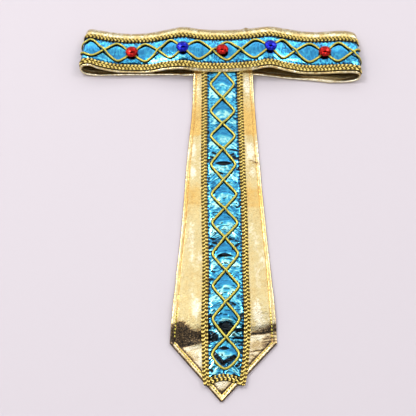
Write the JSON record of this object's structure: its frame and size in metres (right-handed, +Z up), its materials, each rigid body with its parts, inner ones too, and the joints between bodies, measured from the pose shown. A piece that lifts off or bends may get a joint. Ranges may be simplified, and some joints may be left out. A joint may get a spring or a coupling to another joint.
{
  "type": "pharaoh headdress band with hanging panel",
  "caption": "Costume headdress lying flat: a closed gold band with blue foil, braid, crossed cords and cut stones, and a long pointed panel hanging from its front.",
  "frame": {"origin": "on the surface it lies on, under the middle of its bounding box", "axes": "+Y along the panel, away from its tip towards the band; +X along the band to the right; +Z up out of the surface"},
  "size_m": [0.2862, 0.3888, 0.0263],
  "materials": {
    "gold_cloth": "gold metallic cloth with a fine leather grain",
    "blue_foil": "azure foil cloth, mirror bright and crinkled",
    "gold_braid": "plaited metallic braid",
    "yellow_cord": "twisted metallic cord",
    "red_stone": "faceted, mirror backed",
    "blue_stone": "faceted, mirror backed"
  },
  "bodies": {
    "root": {"band": "gold_cloth", "band_foil": "blue_foil", "band_braid_low": "gold_braid", "band_braid_top": "gold_braid", "band_cord_a": "yellow_cord", "band_cord_b": "yellow_cord", "stone_red_left": "red_stone", "stone_blue_left": "blue_stone", "stone_red_middle": "red_stone", "stone_blue_right": "blue_stone", "stone_red_right": "red_stone", "panel": "gold_cloth", "panel_foil": "blue_foil", "panel_braid_left": "gold_braid", "panel_braid_right": "gold_braid", "panel_braid_arch": "gold_braid", "panel_cord_a": "yellow_cord", "panel_cord_b": "yellow_cord"}
  },
  "joints": []
}
